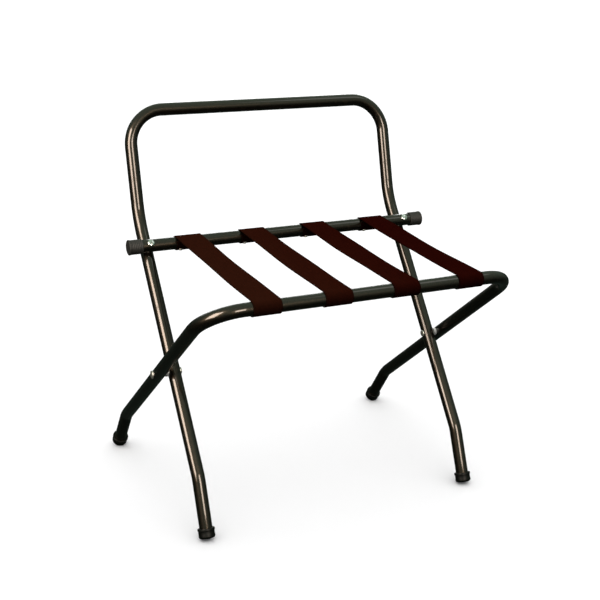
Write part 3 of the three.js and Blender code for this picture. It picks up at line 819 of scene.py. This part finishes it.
def surface(shade, **inputs):
    """The Principled shader and the material's output. Underscores stand for spaces in the sockets' names."""
    sockets = {name.replace("_", " "): value for name, value in inputs.items()}
    shader = shade.node("ShaderNodeBsdfPrincipled", None, sockets)
    shade.node("ShaderNodeOutputMaterial", None, {"Surface": shader})


def bump(shade, height, distance, strength=1.0):
    """A normal from a height between 0 and 1 that stands for a distance in metres."""
    return shade.node("ShaderNodeBump", None, {"Height": height, "Distance": distance, "Strength": strength})


# %% [markdown]
# Bronze paint
#
# The tubes have a dark bronze hammered-smooth paint: a brown metallic base under a hard clear coat. The
# coat gives the narrow bright highlights and the base a wide brown glow round them. Fine flakes vary the
# base's colour, a slight orange peel breaks up the reflections, and the paint is duller where hands, shoes
# and the other leg have rubbed it.

# %% The tubes' paint
def bronze_paint():
    material, shade = blank("bronze_paint")
    place = position(shade)
    cells = {"Vector": place, "Scale": 2600.0}
    flakes = shade.node("ShaderNodeTexVoronoi", {"voronoi_dimensions": "3D"}, cells, output=1)
    sparkle = shade.node("ShaderNodeSeparateColor", None, {"Color": flakes})
    clouds = noise(shade, place, 14.0, 4.0, 0.6)
    rubbed = (noise(shade, place, 90.0, 5.0, 0.65) - 0.6 + (clouds - 0.5) * 0.5).between(0.0, 0.08)
    base = mixed(sparkle ** 2.0, linear("1a150e"), linear("403324"))
    base = mixed(clouds.between(0.3, 0.75) * 0.5, base, linear("1f170f"))
    base = mixed(rubbed * 0.3, base, linear("3c352a"))
    peel = noise(shade, place, 420.0, 2.0, 0.4)
    grain = noise(shade, place, 2400.0, 2.0, 0.5)
    surface(
        shade, Base_Color=base, Metallic=0.85,
        Roughness=0.3 + 0.06 * clouds + 0.12 * rubbed,
        Coat_Weight=1.0 - 0.35 * rubbed, Coat_Roughness=0.08,
        Normal=bump(shade, peel * 0.8 + grain * 0.2 + rubbed * -0.1, 0.00004),
    )
    return material


bronze = bronze_paint()
print(bronze.name, len(bronze.node_tree.nodes), "nodes")

# %% [markdown]
# Webbing
#
# The straps are a tight brown herringbone. Lengthwise yarns float over the crosswise ones in steps that
# climb to one side and then to the other, so that the cloth shows faint bands along its length. The map
# made with the mesh is in millimetres, so the yarns are counted directly in it, and the pattern bends with
# the cloth. The straps are painted lighter and browner towards the left and darker red towards the right:
# a painted light that falls from the left.

# %% The straps' cloth
YARN = 1.15  # millimetres from one lengthwise yarn to the next
PICK = 1.5  # millimetres from one crosswise yarn to the next
BAND_YARNS = 5  # lengthwise yarns in each band of the herringbone


def webbing():
    material, shade = blank("brown_webbing")
    place = shade.node("ShaderNodeUVMap", {"uv_map": "weave"})
    across = shade.node("ShaderNodeSeparateXYZ", None, {"Vector": place}, output=0)
    lengthwise = shade.node("ShaderNodeSeparateXYZ", None, {"Vector": place}, output=1)
    wobble = noise(shade, place, 0.12, 2.0) - 0.5
    yarn = across / YARN + wobble * 0.5
    number = yarn.floor()
    climb = (number.maths("PINGPONG", number, float(BAND_YARNS))) * 0.5
    over = ((lengthwise / PICK + climb) * math.pi).sine() * 0.5 + 0.5
    round_yarn = ((yarn * math.pi).sine().size()) ** 0.6
    pick = ((lengthwise / PICK * math.tau).sine().size()) ** 0.7
    height = (round_yarn * over).most(pick * (1 - over) * 0.75)
    edge = (across - 24.0).size().between(20.6, 21.6)
    stretched = shade.node("ShaderNodeMapping", None, {"Vector": place, "Scale": (1.0, 0.04, 1.0)})
    streaks = noise(shade, stretched, 1.1, 3.0)
    worn = noise(shade, place, 0.035, 4.0, 0.6).between(0.45, 0.75)
    fuzz = noise(shade, place, 6.0, 3.0, 0.7)
    # Painted shade: the weave is darker where it lies low, between the raised yarns.
    colour = mixed(height.between(0.15, 0.85), linear("150401"), linear("330903"))
    colour = mixed(streaks.between(0.42, 0.72) * 0.5, colour, linear("3a0f06"))
    colour = mixed(edge * 0.4, colour, linear("140603"))
    colour = mixed(worn * fuzz * 0.2, colour, linear("3d1c10"))
    # Painted light: the straps are lighter and browner towards the left and darker towards the right, as if
    # lit from the left.
    right = shade.node("ShaderNodeSeparateXYZ", None, {"Vector": position(shade)}).between(-0.23, 0.23)
    colour = mixed((1 - right) * 0.4, colour, linear("2a1c12"))
    colour = mixed(right * 0.45, colour, linear("120203"))
    surface(
        shade, Base_Color=colour, Roughness=0.75 + 0.12 * fuzz, Specular_IOR_Level=0.0,
        Normal=bump(shade, height * 0.85 + fuzz * 0.15, 0.00045),
    )
    return material


cloth = webbing()
print(cloth.name, len(cloth.node_tree.nodes), "nodes")

# %% [markdown]
# Rubber and plastic
#
# The feet are matt black rubber with a fine moulded grain and a little floor dust low down. The end caps
# are a harder plastic that shines a little more, and the spacers are natural white nylon, which is never
# quite even in colour.

# %% Black rubber, black plastic and white nylon
def moulded(name, dark, light, roughness, grain_size, grain_depth, shine=0.5, dusty=False):
    """A moulded material: two tones in soft clouds, with a fine grain, and dust near the floor if asked."""
    material, shade = blank(name)
    place = position(shade)
    clouds = noise(shade, place, 120.0, 4.0, 0.6)
    grain = noise(shade, place, 1 / grain_size, 2.0, 0.6)
    colour = mixed(clouds.between(0.3, 0.8), linear(dark), linear(light))
    if dusty:
        height = shade.node("ShaderNodeSeparateXYZ", None, {"Vector": place}, output=2)
        dust = (1 - height.between(0.0, 0.012)) * noise(shade, place, 300.0, 5.0, 0.7).between(0.45, 0.75)
        colour = mixed(dust * 0.35, colour, linear("5c554c"))
    surface(
        shade, Base_Color=colour, Roughness=roughness + 0.15 * (clouds - 0.5), Specular_IOR_Level=shine,
        Normal=bump(shade, grain, grain_depth),
    )
    return material


rubber = moulded("black_rubber", "070805", "11120d", 0.42, 0.0005, 0.00006, 0.22, dusty=True)
plastic = moulded("black_plastic", "262420", "332f2b", 0.6, 0.0004, 0.00002)
nylon = moulded("white_nylon", "d9d8d0", "efeee9", 0.42, 0.0006, 0.00002)
print("moulded:", rubber.name, plastic.name, nylon.name)

# %% [markdown]
# Bright metal
#
# The rear rail's screws and nuts are chrome plated, and the pivots' bolts and barrel nuts are zinc plated,
# which is paler and duller. Plating hides the steel's colour but not its machining, so fine marks stay in
# the surface, with a few duller spots where it has tarnished. The rivets are plain aluminium, which is
# softer and greyer.

# %% Plated steel and aluminium
def bare_metal(name, bright, dull, roughness):
    material, shade = blank(name)
    place = position(shade)
    tarnish = noise(shade, place, 350.0, 5.0, 0.65).between(0.5, 0.72)
    drawn = shade.node("ShaderNodeMapping", None, {"Vector": place, "Scale": (1.0, 6.0, 1.0)})
    marks = noise(shade, drawn, 900.0, 3.0)
    surface(
        shade, Base_Color=mixed(tarnish * 0.6, linear(bright), linear(dull)), Metallic=1.0,
        Roughness=roughness + 0.18 * tarnish + 0.06 * marks, Normal=bump(shade, marks, 0.00001),
    )
    return material


chrome = bare_metal("bright_plating", "e3e4e2", "a9a69f", 0.14)
zinc = bare_metal("zinc_plating", "dfe0dc", "b5b2aa", 0.36)
aluminium = bare_metal("rivet_aluminium", "dcd9d4", "aca79e", 0.42)
print("metals:", chrome.name, zinc.name, aluminium.name)

# %% [markdown]
# Putting the pieces on the frame
#
# Each finished piece stands for its plain CAD node, and all but the straps ride on the same body. The seat
# frame, its feet and the front rivets turn with the seat frame, and the rest stays with the back frame. A
# strap's two ends are on different bodies, but here the straps are put on no body and are not bent.

# %% Riding, replacing and painting
def fit(piece, body, slot, material, *nodes):
    """Paints the piece, puts it on its body and hides the CAD nodes that it stands for."""
    piece.data.materials.clear()
    piece.data.materials.append(material)
    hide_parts(*nodes)
    if body:
        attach(piece, body)


fit(back_tube, "back_frame", "bronze_paint", bronze, "back_frame_tube")
fit(seat_tube, "seat_frame", "bronze_paint", bronze, "seat_frame_tube")
fit(rail_tube, "back_frame", "bronze_paint", bronze, "rear_rail_tube")
for side_name in SIDES:
    fit(end_caps[side_name], "back_frame", "black_plastic", plastic, f"rail_end_cap_{side_name}")
    fit(rail_screws[side_name], "back_frame", "bright_metal", chrome, f"rail_screw_{side_name}")
    fit(rail_nuts[side_name], "back_frame", "bright_metal", chrome, f"rail_nut_{side_name}")
    fit(bolts[side_name], "back_frame", "bright_metal", zinc, f"pivot_bolt_{side_name}")
    fit(barrel_nuts[side_name], "back_frame", "bright_metal", zinc, f"pivot_nut_{side_name}")
    fit(spacers[side_name], "back_frame", "white_nylon", nylon, f"pivot_spacer_{side_name}")
    fit(feet[f"front_{side_name}"], "back_frame", "black_rubber", rubber, f"foot_front_{side_name}")
    fit(feet[f"rear_{side_name}"], "seat_frame", "black_rubber", rubber, f"foot_rear_{side_name}")
for node, piece in rivets.items():
    fit(piece, "back_frame" if node.startswith("rear") else "seat_frame", "rivet_metal", aluminium, node)
print("painted:", bronze.users, "tubes,", aluminium.users, "rivets")

# %% The straps, which are put on no body and are not bent
BEND_MARGIN = 18 * MM  # each end of a strap stays whole for this far from its rail's centre
for number, piece in enumerate(straps, 1):
    fit(piece, None, "webbing", cloth, f"strap_{number}")
    tuple(rear_rail + towards_front * BEND_MARGIN)
    tuple(front_rail - towards_front * BEND_MARGIN)
    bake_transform(piece)

# %% [markdown]
# The saddles
#
# A small black saddle seats the round rail on each round post. Its shape comes from two crossed hollows,
# and the CAD model has it exactly, so it stays and only gets the plastic.

# %% Paint for the pieces that stay
for side_name in SIDES:
    saddle = frame["nodes"][f"rail_saddle_{side_name}"]
    saddle.data.materials.clear()
    saddle.data.materials.append(plastic)

# %% [markdown]
# The floor and the light
#
# The rack stands on a plain pale floor in front of a pale backdrop. Glossy dark tubes show what is round
# them more than their own colour, so reflections have a room of their own: a dim greenish one, brighter
# above, that greys the tops of the rails and keeps their undersides black. They also see the softboxes. A
# tall one at the left and one in front draw the long warm highlights down the legs, and faint ones overhead
# and behind give the other sides an edge of light. Cloth and floor see an even white sky instead, and
# neither is lit by the softboxes. Only the camera sees the floor, so that it throws no light up onto the
# tubes.

# %% The floor
FLOOR_REACH = 30  # metres each way


def plain_floor():
    mesh = bpy.data.meshes.new("floor")
    corners = [(x * FLOOR_REACH, y * FLOOR_REACH, 0) for x, y in ((-1, -1), (1, -1), (1, 1), (-1, 1))]
    mesh.from_pydata(corners, [], [(0, 1, 2, 3)])
    floor = bpy.data.objects.new("floor", mesh)
    bpy.context.collection.objects.link(floor)
    material, shade = blank("pale_floor")
    surface(shade, Base_Color=grey(0.93), Roughness=0.9, Specular_IOR_Level=0.0)
    mesh.materials.append(material)
    floor.visible_glossy = floor.visible_diffuse = False


plain_floor()
print("floor,", 2 * FLOOR_REACH, "m wide")


# %% The room that reflections see, the sky and the backdrop
def studio_sky():
    world = bpy.data.worlds.new("studio")
    world.use_nodes = True
    world.node_tree.nodes.clear()
    world.cycles.sampling_method = "NONE"
    bpy.context.scene.world = world
    shade = Shade(world.node_tree)
    direction = shade.node("ShaderNodeTexCoord")
    back = shade.node("ShaderNodeSeparateXYZ", None, {"Vector": direction}, output=1)
    up = shade.node("ShaderNodeSeparateXYZ", None, {"Vector": direction}, output=2)
    seen = shade.node("ShaderNodeLightPath", output=0)
    glossy = shade.node("ShaderNodeLightPath", output=3)
    height = (up - back * 0.2).between(-0.4, 1.0) ** 1.2
    room = mixed(height, (0.018, 0.026, 0.02, 1), (0.42, 0.54, 0.43, 1))
    light = mixed(up.between(0.0, 0.8), grey(0.05), grey(1.55))
    colour = mixed(seen, mixed(glossy, light, room), grey(0.9))
    background = shade.node("ShaderNodeBackground", None, {"Color": colour})
    shade.node("ShaderNodeOutputWorld", None, {"Surface": background})


studio_sky()
print("world:", bpy.context.scene.world.name)

# %% Softboxes
CENTRE = (cad_box[0] + cad_box[1]) / 2


def softbox(name, azimuth, elevation, distance, size, radiance, colour=(1, 1, 1)):
    """A rectangular light that faces the rack. Azimuth 0 is in front, and positive is to the right."""
    a, e = math.radians(azimuth), math.radians(elevation)
    back = Vector((math.sin(a) * math.cos(e), -math.cos(a) * math.cos(e), math.sin(e)))
    light = bpy.data.lights.new(name, "AREA")
    light.shape, light.size, light.size_y = "RECTANGLE", *size
    light.energy = radiance * math.pi * size[0] * size[1]  # what gives a flat light this radiance
    light.color = colour
    lamp = bpy.data.objects.new(name, light)
    lamp.location = CENTRE + back * distance
    lamp.visible_diffuse = False
    lamp.rotation_mode = "QUATERNION"
    lamp.rotation_quaternion = (-back).to_track_quat("-Z", "Y")
    bpy.context.collection.objects.link(lamp)


WARM = (1.0, 0.84, 0.71)
softbox("left_softbox", -69, 28, 2.4, (1.15, 1.5), 15.0, WARM)
softbox("front_softbox", 0, 21, 3.4, (1.3, 1.06), 13.0, WARM)
softbox("overhead_softbox", 65, 55, 2.4, (0.8, 0.8), 1.0)
softbox("rear_softbox", 165, 15, 2.6, (2.2, 0.9), 3.0)
print("softboxes round", [round(v, 3) for v in CENTRE])

# %% [markdown]
# The camera
#
# The camera stands to the left of the rack's front, a little above it, with a slightly long lens. It is
# turned about its own axis by a degree or so, as a hand-held camera is, and its shift puts the rack where
# the frame needs it.

# %% Camera
camera = bpy.data.cameras.new("camera")
camera.lens, camera.sensor_width = 67.31, 36
camera.shift_x, camera.shift_y = -0.0068, 0.0397
eye = bpy.data.objects.new("camera", camera)
eye.location = (-0.8411, -1.6804, 0.991)
aim = Vector((0.41843, 0.83823, -0.3497)).to_track_quat("-Z", "Y")
eye.rotation_mode = "QUATERNION"
eye.rotation_quaternion = aim @ Quaternion((0, 0, 1), math.radians(1.83))
bpy.context.collection.objects.link(eye)
bpy.context.scene.camera = eye
bpy.context.scene.view_settings.view_transform = "Standard"
print("the camera is", round((eye.location - CENTRE).length, 2), "m from the rack's middle")
